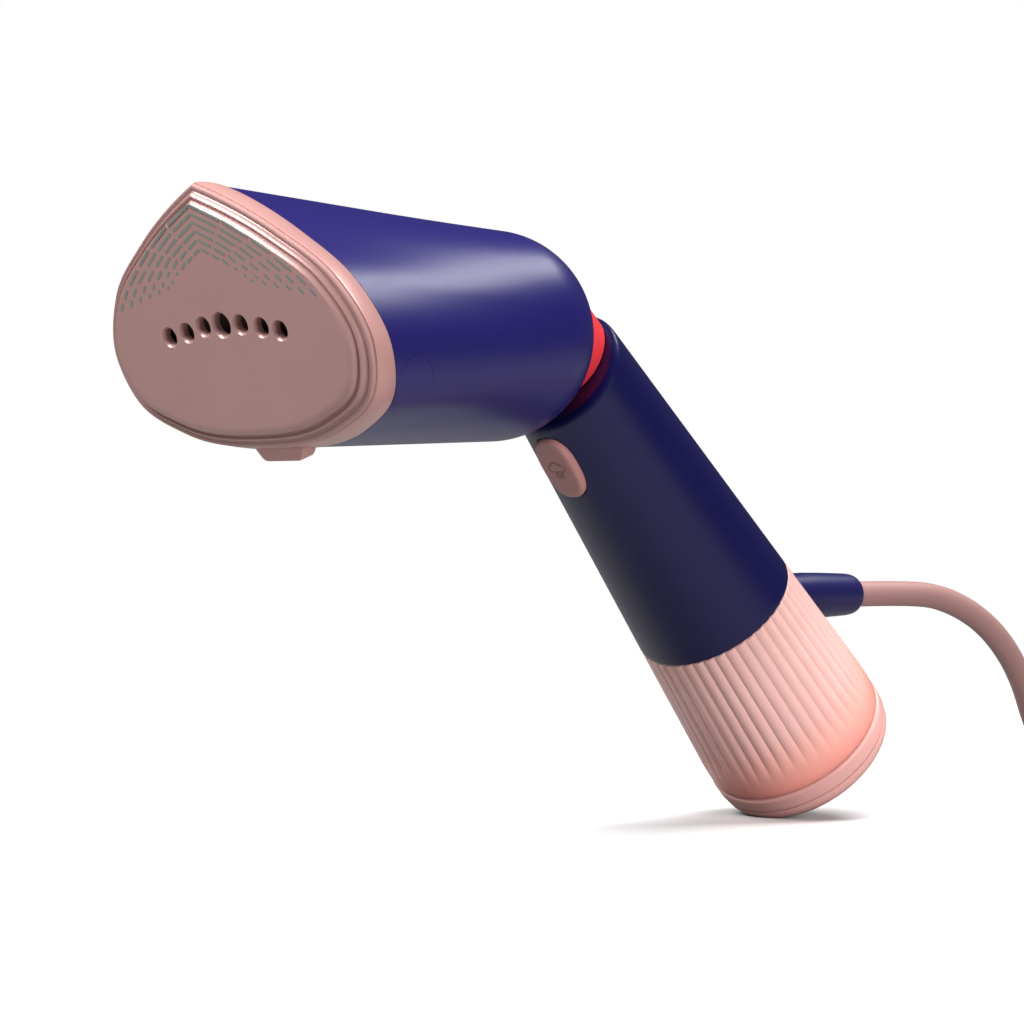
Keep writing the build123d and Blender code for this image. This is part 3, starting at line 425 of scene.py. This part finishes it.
def pick(width, top, bottom, count=PICK_COUNT):
    """Evenly spaced points round a pick outline, tip first, clockwise as seen from the front."""
    dense = half_pick(width, top, bottom)
    lengths = [0]
    for a, b in zip(dense, dense[1:]):
        lengths.append(lengths[-1] + (b - a).length)
    half = []
    spot = 0
    for i in range(count // 2 + 1):
        wanted = lengths[-1] * i / (count // 2)
        while spot < len(lengths) - 2 and lengths[spot + 1] < wanted:
            spot += 1
        share = (wanted - lengths[spot]) / (lengths[spot + 1] - lengths[spot])
        half.append(dense[spot].lerp(dense[spot + 1], min(1, share)))
    return half + [Vector((-p.x, p.y)) for p in half[-2:0:-1]]


def mixed(first, second, share):
    """An outline's three sizes between two outlines'."""
    return tuple(a + (b - a) * share for a, b in zip(first, second))


def inset(outline, amount):
    return tuple(size - amount for size in outline)


# ---- the head's shell and its side covers ----------------------------------------------------
def head_skin(name):
    """The domed housing: each line runs from the swivel's pole over the dome to the collar."""
    edge = [tilted(COLLAR_STATION).at(p.x, p.y, 0) * 1000 for p in pick(*COLLAR_OUTLINE)]
    columns = []
    for point in edge:
        local = HEAD.back(point)
        reach = math.hypot(local.x, local.y)
        across = Vector((local.x / reach, local.y / reach))
        distance = math.hypot(reach, local.z)
        touch = math.atan2(reach, local.z) + math.acos(DOME_RADIUS / distance)
        column = []
        for step in range(44):
            angle = math.pi - 0.02 - (math.pi - 0.02 - touch) * step / 43
            column.append((DOME_RADIUS * math.sin(angle), DOME_RADIUS * math.cos(angle)))
        start = column[-1]
        for step in range(1, 25):
            share = step / 24
            column.append((start[0] + (reach - start[0]) * share, start[1] + (local.z - start[1]) * share))
        columns.append([HEAD.at(across.x * r, across.y * r, s) for r, s in column])
    rings = [[column[row] for column in columns] for row in range(len(columns[0]))]
    points, faces = skin(rings, close_first=True)
    return piece(name, points, faces, BLUE, 60)


SIDE = Local(DOME + Vector((0, -66, -16.7)), (1, 0, 0))
SIDE.y = Vector((0, 0, 1))


def side_cylinder(radius):
    """A long cylinder through the head's two side covers, as a cutter."""
    rings = []
    for across in (-70, 70):
        ring = []
        for i in range(72):
            angle = 2 * math.pi * i / 72
            y = SIDE.origin.y + radius * math.cos(angle)
            z = SIDE.origin.z + radius * math.sin(angle)
            ring.append(Vector((across, y, z)) * 0.001)
        rings.append(ring)
    points, faces = skin(rings, True, True)
    return piece("cutter", points, faces, BLUE)


head_shell = head_skin("head_shell")
thicken(head_shell, WALL)
head_caps = head_shell.copy()
head_caps.data = head_shell.data.copy()
head_caps.name = "head_side_covers"
scene.collection.objects.link(head_caps)
for target, radius, keep in ((head_shell, 7.38, False), (head_caps, 7.31, True)):
    cutter = side_cylinder(radius)
    cut(target, cutter, keep)
    bpy.data.objects.remove(cutter)
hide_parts("head_housing")
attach(head_shell, "head")
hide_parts("side_covers")
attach(head_caps, "head")

# ---- the collar, the plate's moulded rim and the plate ---------------------------------------


def collar_ring(share, swell, grow=0.0):
    """A ring of the collar between the housing's edge and the rim, swollen outward a little."""
    outline = tuple(size + swell for size in mixed(COLLAR_OUTLINE, RIM_OUTLINE, share))
    local = tilted(COLLAR_STATION + (RIM_STATION - COLLAR_STATION) * share)
    return [local.at(p.x, p.y, grow) for p in pick(*outline)]


def rim_ring(amount, depth, drift=0.0):
    """A ring of the moulded rim: inset from the rim's outline, at a depth ahead of the rim plane."""
    return [RIM.at(p.x, p.y + drift, depth) for p in pick(*inset(RIM_OUTLINE, amount))]


collar_rings = [collar_ring(0.0, -1.2), collar_ring(0.0, -0.25), collar_ring(0.03, 0.0)]
for step in range(1, 12):
    share = 0.03 + 0.94 * step / 11
    collar_rings.append(collar_ring(share, 0.55 * math.sin(math.pi * share)))
collar_rings += [
    collar_ring(0.99, -0.1),
    rim_ring(0.55, 0.05),
    rim_ring(1.3, 0.05),
    rim_ring(3.2, -0.6),
    rim_ring(4.0, -2.5),
    [tilted(COLLAR_STATION).at(p.x, p.y, 0) for p in pick(*inset(COLLAR_OUTLINE, 3.0))],
]
points, faces = skin(collar_rings + [collar_rings[0]])
collar = piece("collar", points, faces, COLLAR, 50)
lug_outline = rounded(
    [(-10.4, -30), (-10.4, -33.6), (-7.2, -38.0), (7.2, -38.0), (10.4, -33.6), (10.4, -30)], 1.5
)
lug_frame = tilted(RIM_STATION - 3.6)
lug_rings = []
for shrink, depth in ((0.7, 0.0), (0.2, -0.2), (0.0, -0.7), (0.0, -4.7), (0.2, -5.2), (0.7, -5.4)):
    lug_rings.append(
        [lug_frame.at(p.x * (1 - shrink / 10), p.y + shrink * (1 if p.y < -32 else 0), depth) for p in lug_outline]
    )
points, faces = skin(lug_rings, True, True)
lug = piece("collar_lug", points, faces, COLLAR, 40)
for item in (collar, lug):
    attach(item, "head")
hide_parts("front_collar")

RIM_PROFILE = [
    (1.6, -1.0), (0.75, -0.3), (0.35, 0.25), (0.30, 0.75),
    (0.55, 1.25), (1.0, 1.45), (1.45, 1.38), (1.75, 1.25),
    (2.0, 1.28), (2.2, 1.5), (2.35, 1.95), (2.6, 2.45), (3.0, 2.7), (3.45, 2.6), (3.7, 2.35), (3.95, 2.32),
]
plate_rings = []
for amount, depth in RIM_PROFILE:
    plate_rings.append(rim_ring(amount, depth))
EDGE = mixed(inset(RIM_OUTLINE, 3.95), FACE_OUTLINE, 0.0)
TOP = inset(EDGE, 1.1)
for share, rise in ((0.15, 0.45), (0.4, 0.95), (0.7, 1.35), (1.0, 1.58)):
    plate_rings.append([RIM.at(p.x, p.y, 2.32 + rise) for p in pick(*mixed(EDGE, TOP, share))])
plate_rings.append([RIM.at(p.x, p.y, 4.0) for p in pick(*inset(TOP, 1.6))])
plate_rings.append([RIM.at(p.x, p.y, FACE_DEPTH) for p in pick(*inset(TOP, 3.6))])
inner_plate = [[RIM.at(p.x, p.y, FACE_DEPTH - 2.4) for p in pick(*inset(TOP, 3.6))]]
points, faces = skin(inner_plate + [
    [RIM.at(p.x, p.y, -1.0) for p in pick(*inset(RIM_OUTLINE, 6.5))],
] + plate_rings, True, True)
plate = piece("steam_plate_face", points, faces, PLATE, 50)

HOLES = [(-21.8, -3.7), (-14.4, -2.8), (-7.2, -1.5), (0, -1.4), (7.5, -1.6), (15.1, -2.7), (21.9, -3.8)]
for x, y in HOLES:
    size = 3.05 if x == 0 else 2.3
    cutter = lathe(
        "cutter", RIM,
        [(size, -9), (size, 3.0), (size + 0.12, 3.55), (size + 0.55, 4.06), (size + 1.2, 4.6)], PLATE, 48
    )
    cutter.data.transform(Matrix.Translation(RIM.at(x, y + FACE_SHIFT, 0) - RIM.at(0, 0, 0)))
    maker = bmesh.new()
    maker.from_mesh(cutter.data)
    bmesh.ops.holes_fill(maker, edges=maker.edges)
    bmesh.ops.recalc_face_normals(maker, faces=maker.faces)
    maker.to_mesh(cutter.data)
    maker.free()
    cut(plate, cutter)
    bpy.data.objects.remove(cutter)
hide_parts("steam_plate")
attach(plate, "head")

# Flat marks barely proud of the face, dark grey as painted shade for the plate's dash grooves.
DASH_RADIUS = 0.38
DASH_FOOT = 3.75
DASH_FACE = FACE_DEPTH + 0.045
OUTER_ROW = [
    ((0.5, 30.0), (9.8, 25.7)), ((11.3, 25.1), (18.9, 20.7)), ((20.8, 19.6), (25.7, 16.1)),
    ((27.6, 14.6), (31.9, 11.2)), ((33.9, 9.6), (35.7, 7.6)), ((37.3, 6.0), (38.4, 4.5)),
]
INNER_ROW = [
    ((0.7, 18.6), (2.8, 17.5)), ((4.3, 16.8), (6.0, 15.8)), ((7.7, 15.4), (8.9, 14.3)),
    ((11.4, 13.1), (11.7, 12.8)), ((14.3, 11.1), (14.6, 10.8)), ((16.5, 9.6), (16.8, 9.3)),
]
dash_points = []
dash_faces = []
for row in range(6):
    share = row / 5
    for outer, inner in zip(OUTER_ROW, INNER_ROW):
        start = Vector(outer[0]).lerp(Vector(inner[0]), share)
        end = Vector(outer[1]).lerp(Vector(inner[1]), share)
        for side in (-1, 1):
            a, b = Vector((start.x * side, start.y + FACE_SHIFT)), Vector((end.x * side, end.y + FACE_SHIFT))
            along = (b - a).normalized()
            across = Vector((-along.y, along.x))
            outline = []
            for centre, sign in ((a, -1), (b, 1)):
                for step in range(7):
                    angle = math.pi * (step / 6 - 0.5)
                    reach = DASH_RADIUS * sign
                    offset = along * (reach * math.cos(angle)) + across * (reach * math.sin(angle))
                    outline.append(centre + offset)
            first = len(dash_points)
            count = len(outline)
            for depth in (DASH_FOOT, DASH_FACE):
                dash_points += [RIM.at(p.x, p.y, depth) for p in outline]
            dash_faces.append(tuple(range(first + count, first + 2 * count)))
            dash_faces.append(tuple(range(first, first + count)))
            for i in range(count):
                j = (i + 1) % count
                dash_faces.append((first + i, first + j, first + count + j, first + count + i))
dashes = piece("plate_dashes", dash_points, dash_faces, DASH_GROOVE_SHADE, 30)
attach(dashes, "head")


# ---- the handle's shell ----------------------------------------------------------------------
def swivel_top(reach):
    """The height of the handle's dished end above the elbow, at a distance from the swivel's axis."""
    if reach <= 14:
        return SWIVEL_FACE
    if reach <= 26:
        share = (reach - 14) / 12
        return SWIVEL_FACE - 4.6 * share**2 * 0.93 - 4.6 * share * 0.07
    return SWIVEL_FACE - 4.6 - (reach - 26) * 0.53


def handle_column(angle):
    """One line of the handle's shell: from the swivel's bore out over its end and down to the seam."""

    def wall(station):
        radius = handle_radius(station)
        spoke = X_AXIS * radius * math.cos(angle) + HANDLE.y * radius * math.sin(angle)
        return ELBOW + spoke + HANDLE.z * station

    low, high = -10.0, 60.0
    for _ in range(40):
        middle = (low + high) / 2
        local = SWIVEL.back(wall(middle))
        if local.z < swivel_top(math.hypot(local.x, local.y)):
            low = middle
        else:
            high = middle
    corner = wall(high)
    local = SWIVEL.back(corner)
    reach = math.hypot(local.x, local.y)
    across = Vector((local.x / reach, local.y / reach))

    def top(distance):
        return SWIVEL.at(across.x * distance, across.y * distance, swivel_top(distance)) * 1000

    fillet = 3.6
    column = [top(9.05 + (reach - fillet - 9.05) * step / 10) for step in range(11)]
    start, end = top(reach - fillet), wall(high + fillet)
    for step in range(1, 9):
        t = step / 8
        column.append(start * (1 - t) ** 2 + corner * 2 * t * (1 - t) + end * t**2)
    first = high + fillet
    for step in range(1, 47):
        column.append(wall(first + (SEAM - 0.5 - first) * step / 46))
    column.append(wall(SEAM - 0.15) - (wall(SEAM) - ELBOW - HANDLE.z * SEAM).normalized() * 0.1)
    column.append(wall(SEAM) - (wall(SEAM) - ELBOW - HANDLE.z * SEAM).normalized() * 0.45)
    return [p * 0.001 for p in column]


columns = [handle_column(2 * math.pi * i / 256) for i in range(256)]
points, faces = skin([[column[row] for column in columns] for row in range(len(columns[0]))])
handle = piece("handle_body", points, faces, SHADED_HANDLE_BLUE, 60)
thicken(handle, WALL)


def stadium(width, height, count=64, power=2.6):
    """Points of a rounded slot outline, wider than tall corners kept full."""
    points = []
    for i in range(count):
        angle = 2 * math.pi * i / count
        c, s = math.cos(angle), math.sin(angle)
        x = width / 2 * math.copysign(abs(c) ** (2 / power), c)
        y = height / 2 * math.copysign(abs(s) ** (2 / power), s)
        points.append(Vector((x, y)))
    return points


BUTTON_WIDTH, BUTTON_HEIGHT = 12.5, 20.5


def button_solid(name, grow, rings, finish):
    """A rounded-slot solid from (shrink, height) rings in the button's frame."""
    stack = []
    for shrink, height in rings:
        outline = stadium(BUTTON_WIDTH + 2 * grow - 2 * shrink, BUTTON_HEIGHT + 2 * grow - 2 * shrink)
        stack.append([BUTTON.at(p.x, p.y, height) for p in outline])
    points, faces = skin(stack, True, True)
    return piece(name, points, faces, finish, 40)


cutter = button_solid("cutter", 0.3, [(0, -8), (0, 6)], SHADED_HANDLE_BLUE)
cut(handle, cutter)
bpy.data.objects.remove(cutter)

BUTTON_PROFILE = [
    (-1.0, -5.7), (-1.0, -4.6), (0, -4.5), (0, 0.2), (0.12, 0.75),
    (0.45, 1.15), (0.95, 1.38), (1.6, 1.48), (3.2, 1.45), (4.6, 1.38),
]
button = button_solid("button_cap", 0, BUTTON_PROFILE, BUTTON_PINK)
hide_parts("steam_button")
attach(button, "button")


def strip(path, width, local, height, thickness=0.12):
    """Points and faces of a thin raised line along a path of local points."""
    left, right = [], []
    for i, p in enumerate(path):
        ahead = path[min(i + 1, len(path) - 1)] - path[max(i - 1, 0)]
        side = Vector((-ahead.y, ahead.x)).normalized() * width / 2
        left.append(p + side)
        right.append(p - side)
    outline = left + right[::-1]
    low = [local.at(p.x, p.y, height - 0.3) for p in outline]
    high = [local.at(p.x, p.y, height + thickness) for p in outline]
    count = len(path)
    whole = 2 * count
    faces = []
    for i in range(count - 1):
        faces.append((whole + i, whole + i + 1, whole + whole - 2 - i, whole + whole - 1 - i))
        faces.append((i, i + 1, whole - 2 - i, whole - 1 - i))
    for i in range(whole):
        j = (i + 1) % whole
        faces.append((i, j, whole + j, whole + i))
    return low + high, faces


icon_points, icon_faces = [], []


def add_strip(path):
    points, faces = strip(path, 0.42, BUTTON, 1.42, 0.05)
    first = len(icon_points)
    icon_points.extend(points)
    icon_faces.extend(tuple(first + i for i in face) for face in faces)


cloud = []
CLOUD = ((-2.1, 0.6, 1.05, 270, 95), (-0.3, 1.4, 1.5, 165, 20), (1.9, 0.7, 1.15, 100, -90))
for cx, cy, radius, start, stop in CLOUD:
    for step in range(13):
        angle = math.radians(start + (stop - start) * step / 12)
        cloud.append(Vector((cx + radius * math.cos(angle), cy + radius * math.sin(angle))))
add_strip(cloud)
for x in (-1.1, 0, 1.1):
    wave = [(0.22 * math.sin(step / 12 * 2 * math.pi), -0.2 - 2.6 * step / 12) for step in range(13)]
    add_strip([Vector((x + sway, drop)) for sway, drop in wave])
icon = piece("button_icon", icon_points, icon_faces, ICON, 30)
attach(icon, "button")


def tongue_surface():
    """The handle's tongue behind the tank: a curved outer face with rounded lower corners, and a flat inner one."""
    across = [13.5 * (step / 20 - 1) for step in range(41)]
    stack = []
    for row in range(31):
        share = row / 30
        ring = []
        for x in across:
            corner = max(0, abs(x) - 9.5)
            end = 136 + math.sqrt(max(0, 16 - corner**2))
            station = 102 + (end - 102) * share
            radius = handle_radius(station)
            ring.append(HANDLE.at(x, -math.sqrt(radius**2 - x**2), station))
        stack.append(ring)
    inner = []
    for row in range(31):
        share = row / 30
        ring = []
        for x in across:
            corner = max(0, abs(x) - 9.5)
            end = 136 + math.sqrt(max(0, 16 - corner**2))
            ring.append(HANDLE.at(x, -13.5, 102 + (end - 102) * share))
        inner.append(ring)
    count = len(across)
    rows = len(stack)
    points = [p for ring in stack for p in ring] + [p for ring in inner for p in ring]
    half = count * rows
    faces = []
    for row in range(rows - 1):
        for i in range(count - 1):
            a, b = row * count + i, (row + 1) * count + i
            faces.append((a, a + 1, b + 1, b))
            faces.append((half + a, half + a + 1, half + b + 1, half + b))
        for i in (0, count - 1):
            a, b = row * count + i, (row + 1) * count + i
            faces.append((a, b, half + b, half + a))
    for row in (0, rows - 1):
        for i in range(count - 1):
            a = row * count + i
            faces.append((a, a + 1, half + a + 1, half + a))
    return piece("handle_tongue", points, faces, SHADED_HANDLE_BLUE, 40)


tongue = tongue_surface()
cutter = lathe("cutter", RELIEF, [(0.01, 98), (7.1, 98), (7.1, 125), (0.01, 125)], SHADED_HANDLE_BLUE, 64)
cut(tongue, cutter)
bpy.data.objects.remove(cutter)
for item in (handle, tongue):
    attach(item, "handle")
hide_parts("handle_shell")

# ---- the water tank --------------------------------------------------------------------------
FLUTES = 44
TANK_COUNT = FLUTES * 12


def tank_ring(station, radius, flute, slot_edge=13.8):
    """A ring of the fluted tank wall, flattened where the handle's tongue lies behind it."""
    ring = []
    for i in range(TANK_COUNT):
        angle = 2 * math.pi * i / TANK_COUNT
        ridge = abs(math.sin(FLUTES * angle / 2)) ** 0.75
        local_radius = radius - flute * (1 - ridge)
        x, y = local_radius * math.cos(angle), local_radius * math.sin(angle)
        if y < -13.2 and abs(x) < slot_edge and station < 140.3:
            y = -13.2
        ring.append(HANDLE.at(x, y, station))
    return ring


tank_rings = []
for step in range(3):
    radius = handle_radius(SEAM) - 0.7 + step * 0.2
    tank_rings.append(tank_ring(SEAM + 0.3 + step * 0.05, radius, 0.3 * step / 2))
for step in range(70):
    station = SEAM + 0.6 + (151 - SEAM - 0.6) * step / 69
    depth = 0.62 * (1 - smoothstep((station - 143) / 12))
    tank_rings.append(tank_ring(station, handle_radius(station) - 0.02, depth))
TANK_FOOT = (
    (152.5, 28.55), (154, 28.6), (156, 28.62), (158, 28.6), (159.0, 28.55), (159.45, 28.3), (159.6, 27.9)
)
for station, radius in TANK_FOOT:
    tank_rings.append(tank_ring(station, radius, 0.62 * (1 - smoothstep((station - 143) / 12))))
points, faces = skin(tank_rings)
tank = piece("tank_wall", points, faces, TANK, 50)
thicken(tank, 1.6)
shoulder_profile = [(8.5, 98.6), (8.5, 105.8), (22, 105.8), (22, 107.4), (6.7, 107.4), (6.7, 98.6)]
top_cover = lathe("tank_shoulder", HANDLE, shoulder_profile, TANK, 96, True)
for item in (tank, top_cover):
    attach(item, "tank")
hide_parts("tank_body")

band_profile = rounded(
    [(24.6, 159.7), (28.3, 159.75), (28.9, 160.6), (28.75, 164.6), (28.3, 165.15), (24.6, 165.2)], 0.5
)
band = lathe("tank_ring_band", HANDLE, band_profile, CAP, 192, True)
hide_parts("tank_band")
cap_line = [(24.5, 156.6), (24.5, 165.25), (27.7, 165.3), (28.25, 165.6), (28.3, 166.2)]
cap_arc = []
for step in range(1, 25):
    angle = math.pi / 2 * step / 24
    cap_arc.append((28.3 * math.cos(angle) ** 0.86 if step < 24 else 0.02, 166.2 + 9.6 * math.sin(angle)))
cap = lathe("tank_end_cap", HANDLE, cap_line + cap_arc, CAP, 192)
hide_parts("tank_cap")
for item in (band, cap):
    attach(item, "tank")

# ---- the relief and the cord -----------------------------------------------------------------
relief_profile = [(0.02, 100), (7.0, 100), (7.0, 108), (7.15, 114)] + [
    (p.x, p.y)
    for p in rounded([(7.15, 114), (7.0, 122), (6.75, 130), (6.55, 135.0), (6.1, 137.4), (4.4, 138.3)], 1.6)
] + [(4.05, 138.2), (4.05, 134)]
relief = lathe("cord_relief", RELIEF, relief_profile, RELIEF_BLUE, 96)
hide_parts("strain_relief")
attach(relief, "handle")

ROUTE = [
    CORD_EXIT,
    (0, 117, -27.156),
    (1, 140, -28.6),
    (3, 162, -38),
    (2.5, 180.5, -54),
    (-5, 201, -75.5),
    (-10, 216.5, -84.6),
    (-12, 233.5, -89.2),
]
TURNS = 5.459
START_ANGLE = math.radians(165.2)
for step in range(1, int(TURNS * 24) + 1):
    turn = step / 24
    lower = 52.4 - 8.15 * (smoothstep((turn - 0.9) * 5) + smoothstep((turn - 1.9) * 5))
    upper = 8.15 * (smoothstep((turn - 3.4) * 5) + smoothstep((turn - 4.4) * 5))
    angle = START_ANGLE - 2 * math.pi * turn
    ROUTE.append((
        40 + (lower + upper) * math.cos(angle),
        236 + (lower + upper) * math.sin(angle),
        -89.2 + 8.05 * smoothstep((turn - 2.62) / 0.25),
    ))
ROUTE += [(92.2, 219, -83), (92, 210, -83), (92, 202, -83)]
line = bpy.data.curves.new("cord_line", "CURVE")
line.dimensions = "3D"
line.bevel_depth = CORD_RADIUS * 0.001
line.bevel_resolution = 8
line.resolution_u = 8
line.use_fill_caps = True
spline = line.splines.new("NURBS")
spline.points.add(len(ROUTE) - 1)
for point, place in zip(spline.points, ROUTE):
    point.co = (place[0] * 0.001, place[1] * 0.001, place[2] * 0.001, 1)
spline.order_u = 3
spline.use_endpoint_u = True
line.materials.append(CORD)
cord = bpy.data.objects.new("mains_cord", line)
scene.collection.objects.link(cord)
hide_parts("power_cord", "cord_coil", "cord_tail")
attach(cord, "handle")

# ---- floor -----------------------------------------------------------------------------------
floor_ring = []
for step in range(96):
    angle = 2 * math.pi * step / 96
    floor_ring.append(Vector((1.6 * math.cos(angle), 1.6 * math.sin(angle), FLOOR * 0.001 - 0.0002)))
FLOOR_PAINT = material("floor_paint", (0.9, 0.9, 0.9), 0.6, shade=0.005)
nodes, links = FLOOR_PAINT.node_tree.nodes, FLOOR_PAINT.node_tree.links
place = nodes.new("ShaderNodeTexCoord")
reach = nodes.new("ShaderNodeVectorMath")
reach.operation = "LENGTH"
links.new(place.outputs["Object"], reach.inputs[0])
fade = nodes.new("ShaderNodeMapRange")
fade.interpolation_type = "SMOOTHSTEP"
fade.inputs["From Min"].default_value = 0.3
fade.inputs["From Max"].default_value = 0.95
links.new(reach.outputs["Value"], fade.inputs["Value"])
seen = nodes.new("ShaderNodeLightPath")
shown = nodes.new("ShaderNodeMath")
shown.operation = "MULTIPLY"
links.new(fade.outputs["Result"], shown.inputs[0])
links.new(seen.outputs["Is Camera Ray"], shown.inputs[1])
paint = nodes.new("ShaderNodeMix")
paint.data_type = "RGBA"
paint.inputs[6].default_value = (0.2, 0.2, 0.2, 1)
links.new(seen.outputs["Is Camera Ray"], paint.inputs["Factor"])
links.new(nodes["Principled BSDF"].inputs["Base Color"].links[0].from_socket, paint.inputs[7])
links.new(paint.outputs[2], nodes["Principled BSDF"].inputs["Base Color"])
glow = nodes.new("ShaderNodeEmission")
blend = nodes.new("ShaderNodeMixShader")
links.new(shown.outputs["Value"], blend.inputs["Fac"])
links.new(nodes["Principled BSDF"].outputs["BSDF"], blend.inputs[1])
links.new(glow.outputs["Emission"], blend.inputs[2])
links.new(blend.outputs["Shader"], nodes["Material Output"].inputs["Surface"])
floor = piece("floor", floor_ring, [tuple(range(96))], FLOOR_PAINT)
